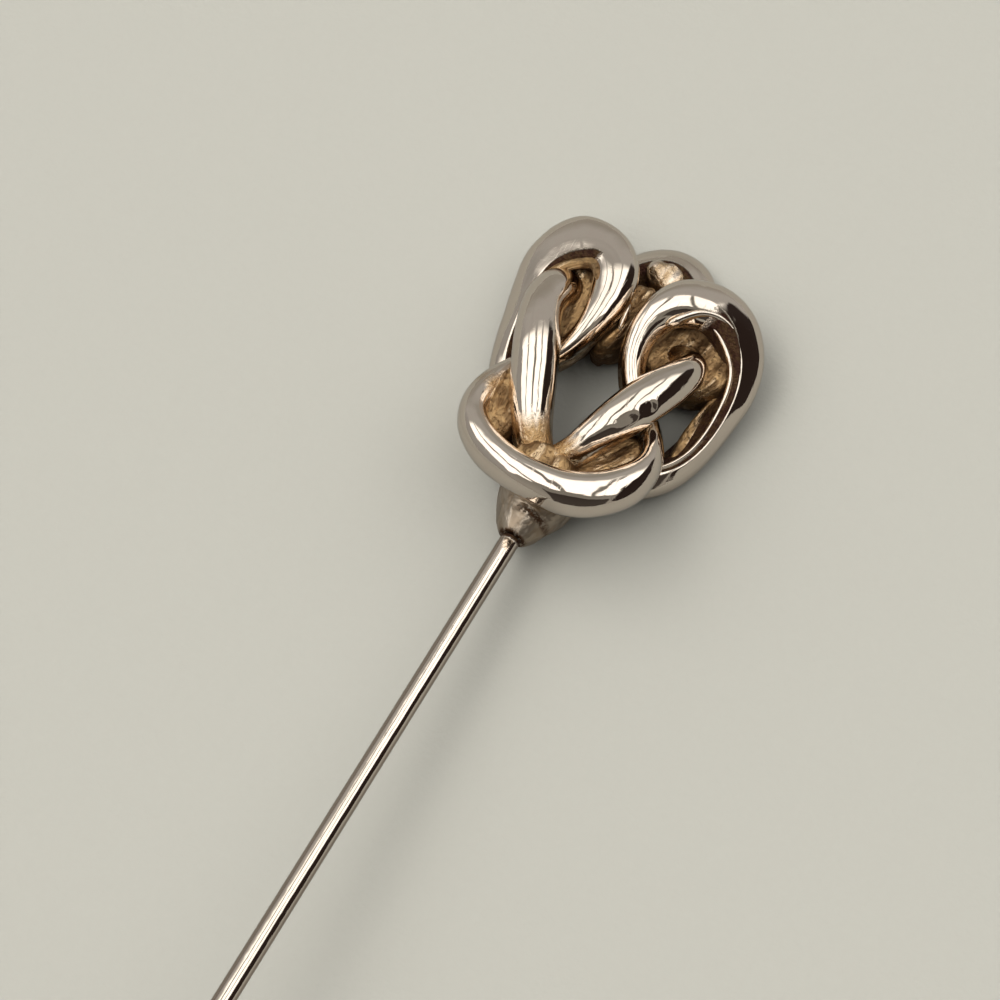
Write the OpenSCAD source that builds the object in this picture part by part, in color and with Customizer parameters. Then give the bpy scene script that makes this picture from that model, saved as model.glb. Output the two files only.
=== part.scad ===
// Gold stick pin: a cast knot of two linked strands, a cone shaped socket
// soldered under it, and a straight round wire stem with a plain point.
// The pin lies on a table as it would by itself: the back of the knot is
// down, the stem points along -Y and rises a little from the table.

/* [Stem] */
// Diameter of the stem wire
stem_d = 0.95; // [0.8:0.05:1.1]
// Length of the stem outside the socket
stem_free = 45; // [35:1:55]
// Length of the tapered point
point_len = 6; // [3:0.5:9]
// Diameter of the blunted tip
tip_d = 0.12; // [0.1:0.02:0.2]
// Diameter of the tang that the stem ends in, inside the socket
tang_d = 0.6; // [0.4:0.05:0.7]
// Length of the thin neck between the lip and the stem's full thickness
neck_len = 0.1; // [0.06:0.02:0.2]
// Angle between the stem and the table
stem_rise = 6.5; // [5:0.5:8]

/* [Socket] */
// Height of the stem's centre above the table where it leaves the socket
seat_z = 2; // [1.9:0.05:2.2]
// Widest radius of the socket, where it meets the knot
socket_r = 1.72; // [1.5:0.02:1.76]
// Radius of the socket's lip round the stem
lip_r = 0.6; // [0.58:0.01:0.7]
// Depth of the hole that holds the tang
bore_depth = 2.2; // [1.6:0.1:2.4]
// Gap between the tang and the hole, on the radius
fit_gap = 0.02; // [0.01:0.01:0.04]

/* [Knot] */
// Width of the knot over its two side lobes
knot_w = 13.1; // [12:0.1:14]
// Scale of the strands' thickness
strand_scale = 1; // [0.9:0.02:1.1]

/* [Hidden] */
gold = "#d8b98f";
strand_sides = 16;
row_steps = 3;
round_fn = 48;
lump_fn = 20;
// Middle of the two lobes beside the stem's line, and the hump's far edge
lobes_mid = 0.29;
knot_top = 17.4;

// Columns of both strand tables: ACROSS, UP and HIGH place the middle of the
// strand from the stem's line, the socket's lip and the table, WIDE and DEEP
// are its section, and LEAN turns the section's foot in, in degrees.
ACROSS = 0;
UP = 1;
HIGH = 2;
WIDE = 3;
DEEP = 4;
LEAN = 5;

// Outer strand: the front bow over the socket, the right lobe, the hidden
// arc behind the bow and the left lobe.
outer_strand = [
    // front bow
    [-4.3, 5.2, 3.5, 1.3, 1.9, 0],
    [-4.1, 3.8, 4.0, 1.4, 2.0, 0],
    [-3.1, 2.7, 4.4, 1.7, 2.1, 0],
    [-1.6, 2.0, 4.6, 1.7, 2.2, 0],
    [0.0, 1.8, 4.7, 1.8, 2.2, 0],
    [1.6, 1.9, 4.6, 2.1, 2.2, 0],
    [3.0, 2.7, 4.4, 2.1, 2.1, 0],
    [3.9, 4.0, 4.0, 1.9, 2.0, 0],
    [4.2, 5.4, 3.5, 1.2, 1.9, 0],
    // under the right leg of the inner strand
    [3.7, 6.8, 2.9, 1.1, 1.8, 0],
    [2.6, 8.0, 2.4, 1.3, 1.8, 0],
    [1.4, 9.2, 2.2, 1.3, 1.8, 0],
    // right lobe
    [0.7, 10.5, 2.8, 1.3, 2.0, 0],
    [0.7, 12.0, 3.3, 1.4, 2.1, 0],
    [1.2, 13.5, 3.5, 1.6, 2.1, 0],
    [2.3, 14.6, 3.3, 1.8, 2.1, 0],
    [3.8, 14.8, 3.0, 1.8, 2.2, 10],
    [5.1, 13.9, 2.6, 1.8, 2.4, 20],
    [5.8, 12.5, 2.3, 1.8, 2.5, 35],
    [5.9, 10.9, 2.0, 1.8, 2.6, 40],
    [5.7, 9.3, 1.7, 1.8, 2.6, 40],
    [5.1, 7.8, 1.4, 1.7, 2.3, 20],
    // hidden arc behind the bow
    [4.1, 6.3, 1.2, 1.8, 2.1, 0],
    [2.8, 5.2, 1.05, 2.0, 2.1, 0],
    [1.3, 4.4, 1.05, 2.0, 2.1, 0],
    [-0.4, 4.1, 1.05, 1.8, 2.1, 0],
    [-2.0, 4.6, 1.05, 1.8, 2.1, 0],
    [-3.3, 5.8, 1.05, 1.8, 2.1, 0],
    // left lobe
    [-4.2, 7.4, 1.2, 1.6, 2.1, 0],
    [-4.9, 9.1, 1.5, 1.6, 2.1, 0],
    [-5.3, 10.8, 1.8, 1.6, 2.1, 0],
    [-5.6, 12.5, 2.1, 1.7, 2.1, 0],
    [-5.2, 14.2, 2.5, 1.8, 2.1, 0],
    [-3.9, 15.4, 2.9, 1.9, 2.1, 0],
    [-2.5, 15.0, 3.2, 1.9, 2.1, 0],
    [-1.8, 13.5, 3.4, 1.7, 2.1, 0],
    [-1.5, 12.0, 3.3, 1.4, 2.1, 0],
    [-1.6, 10.5, 3.0, 1.2, 2.0, 0],
    // under the left leg of the inner strand
    [-2.0, 9.3, 2.5, 1.2, 1.8, 0],
    [-3.0, 8.3, 2.3, 1.2, 1.8, 0],
    [-3.9, 7.0, 2.8, 1.3, 1.8, 0],
];

// Inner strand: the V in front, a hook down through each lobe, and the
// hump that closes it behind the two lobes.
inner_strand = [
    // left leg of the V
    [-0.4, 3.4, 2.6, 1.6, 2.0, 0],
    [-1.2, 4.3, 3.0, 1.8, 2.0, 0],
    [-1.9, 5.5, 3.7, 2.1, 2.1, 0],
    [-2.5, 7.0, 4.2, 2.2, 2.2, 0],
    [-3.1, 8.4, 4.2, 2.2, 2.2, 0],
    [-3.8, 9.9, 3.9, 1.8, 2.0, 0],
    // left hook, down through the left lobe
    [-4.3, 11.2, 3.2, 1.5, 1.8, 0],
    [-4.0, 12.4, 2.1, 1.4, 1.7, 0],
    [-3.0, 12.8, 1.3, 1.8, 1.7, 0],
    [-2.0, 12.4, 1.0, 2.0, 1.8, 0],
    // hump
    [-1.3, 13.4, 1.0, 1.8, 1.9, 0],
    [-1.5, 14.9, 1.05, 1.6, 2.0, 0],
    [-0.8, 16.3, 1.05, 1.7, 2.1, 0],
    [0.4, 16.7, 1.05, 1.7, 2.1, 0],
    [1.5, 16.2, 1.05, 1.7, 2.1, 0],
    [1.8, 15.0, 1.05, 1.6, 2.0, 0],
    [1.3, 13.6, 1.0, 1.7, 1.9, 0],
    // right hook, up through the right lobe
    [1.4, 12.3, 1.0, 1.9, 1.8, 0],
    [2.2, 11.8, 1.3, 1.9, 1.7, 0],
    [3.2, 11.8, 2.0, 1.6, 1.7, 0],
    [3.6, 10.9, 3.1, 1.6, 1.8, 0],
    // right leg of the V
    [3.2, 9.5, 3.9, 2.0, 2.1, 0],
    [2.5, 7.9, 4.2, 2.2, 2.2, 0],
    [1.9, 6.5, 4.2, 2.0, 2.2, 0],
    [1.2, 5.3, 3.8, 1.6, 2.0, 0],
    [0.6, 4.2, 3.0, 1.5, 2.0, 0],
];

// Cast metal that fills the recesses behind the strands, as rounded lumps.
// Columns: ACROSS, UP, HIGH, then HALF_W, HALF_L and HALF_T, half the width,
// length and thickness of a lump.
HALF_W = 3;
HALF_L = 4;
HALF_T = 5;
recess_lumps = [
    // behind the left lobe
    [-2.0, 12.5, 0.85, 1.9, 2.1, 0.8],
    [-3.3, 12.8, 0.85, 1.5, 2.3, 0.8],
    // behind the right lobe
    [1.3, 12.3, 0.85, 1.9, 2.3, 0.8],
    [2.7, 12.9, 0.85, 1.6, 1.8, 0.8],
    // beside the right end of the bow
    [2.4, 6.3, 0.95, 1.4, 1.3, 0.9],
    // at the foot of the V
    [-0.4, 4.9, 1.05, 1.3, 1.0, 1.0],
];

// Outline of the socket. Columns: BACK from the lip towards the knot, and
// SWELL, from 0 at the lip's radius to 1 at the widest.
BACK = 0;
SWELL = 1;
socket_outline = [
    [0, 0],
    [0.1, 0.13],
    [0.35, 0.28],
    [0.65, 0.42],
    [1.2, 0.67],
    [1.8, 0.92],
    [2.3, 1],
    [2.8, 0.96],
    [3.4, 0.55],
];
socket_end = 3.6;

// A row of a closed table, with the index wrapped round
function row(table, i) = table[(i + len(table)) % len(table)];

// All columns of the smooth curve through span i, at t from 0 to 1
function along(table, i, t) =
    (pow(1 - t, 3) * row(table, i - 1)
    + (3 * pow(t, 3) - 6 * pow(t, 2) + 4) * row(table, i)
    + (-3 * pow(t, 3) + 3 * pow(t, 2) + 3 * t + 1) * row(table, i + 1)
    + pow(t, 3) * row(table, i + 2)) / 6;

function place(r) = [r[ACROSS], r[UP], r[HIGH]];

function unit(v) = v / norm(v);

// All columns at station k, with row_steps stations to a row
function station(table, k) =
    along(table, floor(k / row_steps), k / row_steps - floor(k / row_steps));

// Direction of the strand at station k
function heading(table, k) =
    let (near = 0.1)
    unit(place(station(table, k + near)) - place(station(table, k - near)));

// The strand's section at station k, an oval of strand_sides points
function section(table, k) =
    let (
        r = station(table, k),
        ahead = heading(table, k),
        side = unit(cross([0, 0, 1], ahead)),
        rise = cross(ahead, side),
        wide = side * cos(r[LEAN]) - rise * sin(r[LEAN]),
        deep = rise * cos(r[LEAN]) + side * sin(r[LEAN])
    )
    [for (j = [0:strand_sides - 1])
        let (a = 360 * j / strand_sides)
        place(r) + strand_scale / 2 * (r[WIDE] * cos(a) * wide + r[DEEP] * sin(a) * deep)];

// One stretch of strand between two stations, closed at both ends
module stretch(table, from, to) {
    n = strand_sides;
    rings = to - from;
    points = [for (k = [from:to]) each section(table, k)];
    walls = [for (k = [0:rings - 1], j = [0:n - 1])
        let (a = k * n + j, b = k * n + (j + 1) % n)
        each [[a, a + n, b + n], [a, b + n, b]]];
    caps = [[for (j = [0:n - 1]) j], [for (j = [0:n - 1]) rings * n + n - 1 - j]];
    polyhedron(points, concat(walls, caps));
}

// A whole closed strand, made of four stretches that meet end to end
module strand(table) {
    quarters = 4;
    total = len(table) * row_steps;
    for (q = [0:quarters - 1])
        stretch(table, floor(q * total / quarters), floor((q + 1) * total / quarters));
}

module recess_lump(lump) {
    translate(place(lump)) scale([lump[HALF_W], lump[HALF_L], lump[HALF_T]])
        sphere(1, $fn = lump_fn);
}

// Places a shape drawn along +Z on the stem's line, with z = 0 at the lip
module on_stem_line() {
    translate([0, 0, seat_z]) rotate([90 - stem_rise, 0, 0]) children();
}

// Moves the pin so that the origin lies on the table under its middle
module centred() {
    stem_end = stem_free * cos(stem_rise) + tip_d / 2 * sin(stem_rise);
    translate([-lobes_mid, (stem_end - knot_top) / 2, 0]) children();
}

// Cone shaped socket, from the lip back to its round end inside the knot
module socket() {
    on_stem_line() rotate_extrude($fn = round_fn) polygon(concat(
        [[0, 0]],
        [for (r = socket_outline) [lip_r + r[SWELL] * (socket_r - lip_r), -r[BACK]]],
        [[0, -socket_end]]
    ));
}

module knot_head() {
    color(gold) centred() difference() {
        union() {
            resize([knot_w, 0, 0]) {
                strand(outer_strand);
                strand(inner_strand);
                for (lump = recess_lumps) recess_lump(lump);
            }
            socket();
        }
        on_stem_line() translate([0, 0, -bore_depth])
            cylinder(h = 2 * bore_depth, d = tang_d + 2 * fit_gap, $fn = round_fn);
    }
}

module pin_stem() {
    seated = bore_depth - fit_gap;
    color(gold) centred() on_stem_line() rotate_extrude($fn = round_fn) polygon([
        [0, -seated],
        [tang_d / 2, -seated],
        [tang_d / 2, neck_len],
        [stem_d / 2, neck_len],
        [stem_d / 2, stem_free - point_len],
        [tip_d / 2, stem_free],
        [0, stem_free],
    ]);
}

knot_head();
pin_stem();
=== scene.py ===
import math
import bpy
import numpy as np
from mathutils import Matrix, Vector
from mathutils.bvhtree import BVHTree


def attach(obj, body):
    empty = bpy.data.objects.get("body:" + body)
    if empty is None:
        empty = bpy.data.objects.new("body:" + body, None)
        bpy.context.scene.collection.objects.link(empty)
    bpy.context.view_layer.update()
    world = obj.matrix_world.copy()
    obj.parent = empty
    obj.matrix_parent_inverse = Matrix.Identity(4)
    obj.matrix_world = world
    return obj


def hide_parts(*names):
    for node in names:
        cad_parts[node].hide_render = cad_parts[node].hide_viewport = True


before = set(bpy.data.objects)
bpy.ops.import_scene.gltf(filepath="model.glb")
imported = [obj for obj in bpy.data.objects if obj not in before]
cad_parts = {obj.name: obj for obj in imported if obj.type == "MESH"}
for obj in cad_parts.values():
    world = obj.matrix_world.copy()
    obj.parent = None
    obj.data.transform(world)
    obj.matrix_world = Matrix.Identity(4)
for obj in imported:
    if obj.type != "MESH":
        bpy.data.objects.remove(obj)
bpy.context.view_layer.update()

# All sizes below are in millimetres, as the maker's drawing gives them.
MM = 0.001

STEM_D = 0.95
STEM_FREE = 45.0
POINT_LEN = 6.0
TIP_D = 0.12
TANG_D = 0.6
NECK_LEN = 0.1
STEM_RISE = math.radians(6.5)
SEAT_Z = 2.0
SOCKET_R = 1.72
LIP_R = 0.6
FIT_GAP = 0.02
BORE_R = TANG_D / 2 + FIT_GAP
BORE_DEPTH = 2.2
LOBES_MID = 0.29
KNOT_TOP = 17.4

# Columns of the strand tables: the middle of the strand from the stem's line,
# the socket's lip and the table, its section, the lean of the section, how
# thin its inner half is, and how far a ridge stands up at its top.
ACROSS, UP, HIGH, WIDE, DEEP, LEAN, THIN, RIDGE = range(8)

OUTER_STRAND = [
    # front bow
    [-4.3, 5.2, 3.5, 1.3, 1.9, 0, 1, 0],
    [-4.1, 3.8, 4.0, 1.4, 2.0, 0, 1, 0],
    [-3.1, 2.7, 4.4, 1.7, 2.1, 0, 1, 0],
    [-1.6, 2.0, 4.6, 1.7, 2.2, 0, 1, 0],
    [0.0, 1.8, 4.7, 1.8, 2.2, 0, 1, 0],
    [1.6, 1.9, 4.6, 2.1, 2.2, 0, 1, 0],
    [3.0, 2.7, 4.4, 2.1, 2.1, 0, 1, 0],
    [3.9, 4.0, 4.0, 1.9, 2.0, 0, 1, 0],
    [4.2, 5.4, 3.5, 1.2, 1.9, 0, 1, 0],
    # under the right leg of the inner strand
    [3.7, 6.8, 2.9, 1.1, 1.8, 0, 1, 0],
    [2.6, 8.0, 2.4, 1.3, 1.8, 0, 1, 0],
    [1.4, 9.2, 2.2, 1.3, 1.8, 0, 1, 0],
    # right lobe
    [0.7, 10.5, 2.8, 1.3, 2.0, 0, 1, 0],
    [0.7, 12.0, 3.3, 1.4, 2.1, 0, 0.9, 0],
    [1.35, 13.4, 3.5, 2.2, 2.1, 6, 0.8, 0],
    [2.3, 14.0, 3.3, 3.2, 1.9, 14, 0.6, 0],
    [3.4, 14.05, 2.9, 3.8, 1.8, 18, 0.4, 0],
    [4.4, 13.3, 2.5, 3.8, 1.7, 27, 0.3, 0],
    [5.25, 12.2, 2.1, 2.7, 1.6, 24, 0.18, 0.02],
    [5.35, 10.8, 1.8, 2.3, 1.6, 44, 0.15, 0.03],
    [5.15, 9.25, 1.6, 2.3, 1.6, 56, 0.15, 0.04],
    [4.85, 7.85, 1.4, 2.5, 1.6, 60, 0.2, 0.04],
    # hidden arc behind the bow
    [4.1, 6.3, 1.2, 2.2, 1.8, 42, 0.4, 0.02],
    [2.8, 5.2, 1.05, 2.0, 2.1, 0, 1, 0],
    [1.3, 4.4, 1.05, 2.0, 2.1, 0, 1, 0],
    [-0.4, 4.1, 1.05, 1.8, 2.1, 0, 1, 0],
    [-2.0, 4.6, 1.05, 1.8, 2.1, 0, 1, 0],
    [-3.3, 5.8, 1.05, 1.8, 2.1, 0, 1, 0],
    # left lobe
    [-4.1, 7.4, 1.2, 1.8, 1.9, 20, 0.5, 0],
    [-4.4, 9.1, 1.5, 2.5, 1.6, 36, 0.3, 0.04],
    [-4.65, 10.8, 1.8, 2.8, 1.5, 36, 0.2, 0.04],
    [-4.7, 12.4, 2.1, 3.5, 1.5, 30, 0.2, 0.02],
    [-4.35, 13.4, 2.5, 4.6, 1.6, 15, 0.2, 0],
    [-3.5, 14.0, 3.0, 5.2, 1.6, 3, 0.2, 0],
    [-2.6, 14.3, 3.25, 3.1, 1.6, 1, 0.4, 0],
    [-1.6, 13.5, 3.4, 2.5, 2.0, 0, 0.8, 0],
    [-1.35, 12.0, 3.3, 1.7, 2.0, 0, 1, 0],
    [-1.6, 10.5, 3.0, 1.2, 2.0, 0, 1, 0],
    # under the left leg of the inner strand
    [-2.0, 9.3, 2.5, 1.2, 1.8, 0, 1, 0],
    [-3.0, 8.3, 2.3, 1.2, 1.8, 0, 1, 0],
    [-3.9, 7.0, 2.8, 1.3, 1.8, 0, 1, 0],
]

INNER_STRAND = [
    # left leg of the V
    [-0.4, 3.4, 2.6, 1.6, 2.0, 0, 1, 0],
    [-1.2, 4.3, 3.0, 1.8, 2.0, 0, 1, 0],
    [-1.9, 5.5, 3.7, 2.1, 2.1, 0, 1, 0],
    [-2.5, 7.0, 4.2, 2.2, 2.2, 0, 1, 0],
    [-3.1, 8.4, 4.2, 2.2, 2.2, 0, 1, 0],
    [-3.75, 9.9, 3.9, 2.0, 2.0, 0, 1, 0],
    # left hook, down into the left lobe
    [-4.0, 11.1, 3.5, 2.0, 1.8, 0, 1, 0],
    [-3.85, 12.3, 3.0, 2.0, 1.6, 0, 1, 0],
    [-3.2, 12.9, 1.6, 1.9, 1.6, 0, 1, 0],
    [-2.5, 12.3, 0.9, 1.8, 1.6, 0, 1, 0],
    # hump
    [-1.2, 13.4, 1.0, 1.8, 1.8, 20, 0.5, 0],
    [-1.5, 14.8, 1.05, 2.4, 1.6, 30, 0.3, 0],
    [-0.75, 15.85, 1.1, 3.2, 1.5, 28, 0.25, 0],
    [0.35, 16.25, 1.15, 3.4, 1.4, 26, 0.25, 0],
    [1.2, 15.7, 1.1, 3.2, 1.4, 28, 0.25, 0],
    [1.6, 14.8, 1.05, 2.4, 1.5, 30, 0.4, 0],
    [1.3, 13.6, 1.0, 1.7, 1.9, 0, 1, 0],
    # right hook, up through the right lobe
    [1.4, 12.3, 1.0, 1.9, 1.8, 0, 1, 0],
    [2.2, 11.8, 1.3, 1.9, 1.7, 0, 1, 0],
    [3.2, 11.8, 2.0, 1.6, 1.7, 0, 1, 0],
    [3.6, 10.9, 3.1, 1.6, 1.8, 0, 1, 0],
    # right leg of the V
    [3.2, 9.5, 3.9, 2.0, 2.1, 0, 1, 0],
    [2.5, 7.9, 4.2, 2.2, 2.2, 0, 1, 0],
    [1.9, 6.5, 4.2, 2.0, 2.2, 0, 1, 0],
    [1.2, 5.3, 3.8, 1.6, 2.0, 0, 1, 0],
    [0.6, 4.2, 3.0, 1.5, 2.0, 0, 1, 0],
]

# The thin rim round the top of the right lobe, in the first five of those columns.
RIGHT_RIM = [
    [1.65, 12.2, 3.75, 0.35, 0.6],
    [2.2, 13.0, 3.85, 0.35, 0.6],
    [2.8, 13.55, 3.8, 0.3, 0.6],
    [3.4, 13.8, 3.6, 0.3, 0.6],
    [4.1, 13.8, 3.3, 0.3, 0.6],
    [4.7, 13.5, 2.95, 0.25, 0.5],
    [5.0, 13.05, 2.6, 0.2, 0.4],
]

# Ledges along the inner walls of the lobes: rows of the outer strand between
# which each runs, its angle round the section at its start, middle and end, with
# the top at 90 and the innermost line at 180, and its own section. Each is made
# of LEDGE_STEPS rows.
FIRST, LAST, START_ANGLE, MID_ANGLE, END_ANGLE, LEDGE_WIDE, LEDGE_DEEP = range(7)
LEDGE_STEPS = 14
RIGHT_LEDGE = [16.2, 22.2, 158, 158, 118, 0.24, 0.42]
LEFT_LEDGE = [29.6, 35.3, 120, 148, 140, 0.55, 0.5]

# Cast metal poured into the recesses, as pads: the middle, the half sizes, the
# turn to the right in degrees, the height of the top, how far it rises towards
# the edge, and how deep its lengthwise streaks are.
SPAN, RUN, TURN, TOP, DISH, STREAK = range(2, 8)
RECESS_PADS = [
    # in the left lobe
    [-3.2, 11.9, 2.0, 2.9, 0, 2.8, 0.45, 0.03],
    # in the right lobe
    [2.8, 12.2, 2.6, 2.2, 10, 2.05, 0.9, 0.04],
    [5.05, 9.9, 0.6, 3.3, 10, 1.5, 0.6, 0.04],
    # between the lobes
    [-0.55, 12.4, 1.05, 2.2, 14, 2.65, 0.4, 0.09],
    # inside the hump
    [-0.1, 15.0, 1.5, 1.2, 0, 0.9, 0.4, 0.05],
    # between the bow's left end and the left leg
    [-3.2, 5.2, 1.1, 2.3, -8, 3.9, 0.4, 0.07],
    # at the foot of the V
    [-0.1, 3.5, 1.7, 0.95, 0, 3.95, 0.1, 0.08],
    # between the right leg and the bow's right end
    [2.25, 5.1, 1.4, 2.3, 38, 3.2, 0.4, 0.06],
]
PAD_THICK = 3.0
# The lumpy bead of polished metal on the hump, as one more pad, and how brown
# it is from 0 to 1.
HUMP_BEAD = [-0.05, 15.65, 1.15, 0.75, 12, 2.12, -0.2, 0.05]
BEAD_BROWN = 0.42

# The ridge on the cast metal between the lobes, in the columns of the rim.
WEB_RIDGE = [
    [-0.6, 13.1, 2.7, 0.3, 0.5],
    [-0.52, 12.6, 2.9, 0.35, 0.5],
    [-0.45, 12.0, 2.9, 0.35, 0.5],
    [-0.38, 11.4, 2.75, 0.3, 0.5],
]

# Where brown cast metal runs up the strands: the middle, and how far it reaches.
STAINS = [
    # the foot of the V
    [-0.4, 3.7, 3.9, 1.7],
    # the bow's left end
    [-4.0, 5.4, 3.6, 0.9],
]

# Dents in the right leg: the middle, how far they reach along and across the
# leg, and their depth.
LEG_DENTS = [
    [3.05, 7.45, 4.9, 0.35, 0.30, 0.16],
    [2.35, 6.45, 4.9, 0.50, 0.28, 0.14],
]

# The way that the right leg runs.
LEG_WAY = np.array([0.6, 0.8, 0.0])

# Outline of the socket: distance back from the lip, and swell from 0 at the
# lip's radius to 1 at the widest.
SOCKET_OUTLINE = [
    [0, 0],
    [0.1, 0.13],
    [0.35, 0.28],
    [0.65, 0.43],
    [1.2, 0.69],
    [1.8, 0.91],
    [2.3, 1.02],
    [2.8, 1.02],
    [3.4, 0.6],
]
SOCKET_END = 3.6

PIN_LEN = STEM_FREE * math.cos(STEM_RISE) + TIP_D / 2 * math.sin(STEM_RISE)
# How much wider than the tables the knot is, as in the drawing.
WIDEN = np.array([1.0117, 1, 1])
# The middle of the socket's lip, and the point of the table under it.
LIP = np.array([-LOBES_MID, (PIN_LEN - KNOT_TOP) / 2, SEAT_Z])
UNDER_LIP = LIP * [1, 1, 0]
DOWN_STEM = np.array([0, -math.cos(STEM_RISE), math.sin(STEM_RISE)])
OFF_STEM = np.array([0, math.sin(STEM_RISE), math.cos(STEM_RISE)])
ACROSS_STEM = np.array([1.0, 0, 0])

# The camera.
# How far it is turned about the knot, how steeply it looks down, how far off it
# stands, and its lens and film.
VIEW_TURN = math.radians(27.9)
VIEW_HEIGHT = math.radians(64.0)
VIEW_FAR = 175.0
LENS = 138.6
FILM_WIDE = 36
# The middle of the picture, from the socket's lip.
MIDDLE_LEFT = 0.523
MIDDLE_UP = 1.727
CLIP_NEAR, CLIP_FAR = 1.0, 10000.0
right = np.array([math.cos(VIEW_TURN), math.sin(VIEW_TURN), 0])
away = np.array([-math.sin(VIEW_TURN), math.cos(VIEW_TURN), 0])
straight_up = np.array([0, 0, 1.0])
ahead = away * math.cos(VIEW_HEIGHT) - straight_up * math.sin(VIEW_HEIGHT)
upright = away * math.sin(VIEW_HEIGHT) + straight_up * math.cos(VIEW_HEIGHT)
eye = LIP - MIDDLE_LEFT * right + MIDDLE_UP * upright - VIEW_FAR * ahead

camera = bpy.data.objects.new("camera", bpy.data.cameras.new("camera"))
bpy.context.scene.collection.objects.link(camera)
camera.data.sensor_width = FILM_WIDE
camera.data.lens = LENS
camera.data.clip_start = CLIP_NEAR * MM
camera.data.clip_end = CLIP_FAR * MM
turn = Matrix((right, upright, -ahead)).transposed().to_4x4()
camera.matrix_world = Matrix.Translation(Vector(eye * MM)) @ turn
bpy.context.scene.camera = camera
bpy.context.scene.view_settings.view_transform = "Standard"


# Values in finishes.
class Value:
    """A node's output that takes part in sums, so shader maths reads plainly."""

    def __init__(self, finish, socket):
        self.finish = finish
        self.socket = socket

    def sum(self, operation, *others):
        inputs = dict(enumerate((self,) + others))
        return self.finish.node("ShaderNodeMath", {"operation": operation}, inputs)

    def reflected(self, operation, other):
        inputs = {0: other, 1: self}
        return self.finish.node("ShaderNodeMath", {"operation": operation}, inputs)

    def __add__(self, other):
        return self.sum("ADD", other)

    def __mul__(self, other):
        return self.sum("MULTIPLY", other)

    def __sub__(self, other):
        return self.sum("SUBTRACT", other)

    def __truediv__(self, other):
        return self.sum("DIVIDE", other)

    def __pow__(self, other):
        return self.sum("POWER", other)

    def __rsub__(self, other):
        return self.reflected("SUBTRACT", other)

    def __rtruediv__(self, other):
        return self.reflected("DIVIDE", other)

    def __rpow__(self, other):
        return self.reflected("POWER", other)

    __radd__ = __add__
    __rmul__ = __mul__

    def step(self, low, high):
        """0 below low, 1 above high, and smooth between them."""
        settings = {"interpolation_type": "SMOOTHSTEP"}
        inputs = {"Value": self, "From Min": low, "From Max": high}
        return self.finish.node("ShaderNodeMapRange", settings, inputs)


class Finish:
    """A node tree, of a material or of the room, that hands out its nodes."""

    def __init__(self, owner):
        owner.use_nodes = True
        self.owner = owner
        self.tree = owner.node_tree
        self.tree.nodes.clear()

    def node(self, kind, settings=None, inputs=None, out=0):
        made = self.tree.nodes.new(kind)
        for key, setting in (settings or {}).items():
            setattr(made, key, setting)
        for key, value in (inputs or {}).items():
            if isinstance(value, Value):
                self.tree.links.new(value.socket, made.inputs[key])
            else:
                made.inputs[key].default_value = value
        return Value(self, made.outputs[out]) if len(made.outputs) else made

    def blend(self, share, first, second):
        inputs = {0: share, 6: first, 7: second}
        return self.node("ShaderNodeMix", {"data_type": "RGBA"}, inputs, 2)

    def place(self):
        """Where a point of the piece is, in millimetres."""
        spot = self.node("ShaderNodeTexCoord", out="Object")
        return self.stretch(spot, (1 / MM, 1 / MM, 1 / MM))

    def stretch(self, spot, by):
        return self.node("ShaderNodeVectorMath", {"operation": "MULTIPLY"}, {0: spot, 1: by})

    def noise(self, spot, scale, detail, roughness, twist=0.0):
        inputs = {"Vector": spot, "Scale": scale, "Detail": detail,
                  "Roughness": roughness, "Distortion": twist}
        return self.node("ShaderNodeTexNoise", None, inputs)

    def marked(self, name, out="Fac"):
        """A value that was worked out for each point of the mesh."""
        return self.node("ShaderNodeAttribute", {"attribute_name": name}, out=out)

    def bump(self, height, depth, under=None):
        inputs = {"Height": height, "Distance": depth * MM, "Strength": 1.0}
        if under:
            inputs["Normal"] = under
        return self.node("ShaderNodeBump", None, inputs)


def surfaced(name, colour, roughness, normal, metallic=1.0):
    """Closes a finish with its colour, roughness and relief, as metal or not."""
    finish = colour.finish
    surface = finish.node("ShaderNodeBsdfPrincipled", None, {
        "Base Color": colour, "Metallic": metallic, "Roughness": roughness, "Normal": normal})
    finish.node("ShaderNodeOutputMaterial", None, {"Surface": surface})
    finish.owner.name = name
    return finish.owner


# Colours, as the shares of red, green and blue light that they throw back.
GOLD = (0.87, 0.77, 0.67, 1)
GOLD_ROSY = (0.86, 0.73, 0.64, 1)
# Dark olive, mixed in for the painted shade on unpolished inner sides.
GOLD_OLIVE = (0.12, 0.07, 0.038, 1)
# Painted shade on the stem's left and right flanks.
TAUPE = (0.38, 0.30, 0.25, 1)
CAST_WARM = (0.58, 0.38, 0.19, 1)
CAST_DULL = (0.26, 0.16, 0.08, 1)
# Pale rubbed cast metal; in the recess metal it also paints highlights along the streaks.
CAST_RUBBED_AND_SHEEN = (0.86, 0.66, 0.44, 1)
AMBER = (0.62, 0.42, 0.22, 1)
SOLDERED = (0.66, 0.59, 0.51, 1)
SOLDERED_DARK = (0.52, 0.45, 0.37, 1)
TARNISH = (0.36, 0.27, 0.19, 1)
# Unpolished metal painted dark as in shade.
UNPOLISHED_SHADE = (0.075, 0.035, 0.026, 1)
# Dark dirt, and painted shade in recesses and at the socket's lip.
GRIME_AND_SHADE = (0.10, 0.05, 0.025, 1)
PAPER = (0.545, 0.540, 0.505, 1)
PAPER_LIGHT = (0.565, 0.560, 0.522, 1)
PAPER_ROUGH = 0.8

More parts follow.
